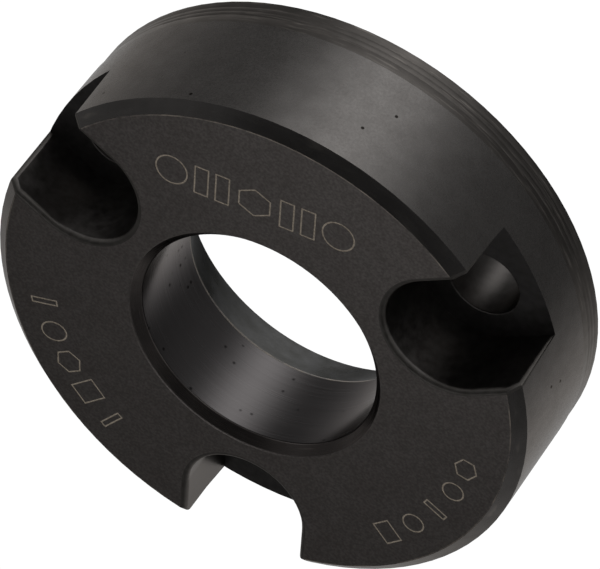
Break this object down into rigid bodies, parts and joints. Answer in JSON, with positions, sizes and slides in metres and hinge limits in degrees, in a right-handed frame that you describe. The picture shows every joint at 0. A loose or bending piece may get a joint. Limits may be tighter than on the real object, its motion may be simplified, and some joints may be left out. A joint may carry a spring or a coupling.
{
  "type": "receiver bushing",
  "caption": "Face-mount receiver bushing: a hardened steel ring with a chamfered locating bore, a flared ball seat behind it and screw pockets cut through its rim.",
  "frame": {"origin": "centre of the seating face, on the ring's axis", "axes": "+Z along the bore axis, out of the marked front face; one screw pocket at -Y, the others 120 degrees round"},
  "size_m": [0.036, 0.036, 0.0106],
  "materials": {
    "receiver_bushing": "black oxide over ground and turned hardened steel"
  },
  "bodies": {
    "root": {"receiver_bushing": "receiver_bushing"}
  },
  "joints": []
}
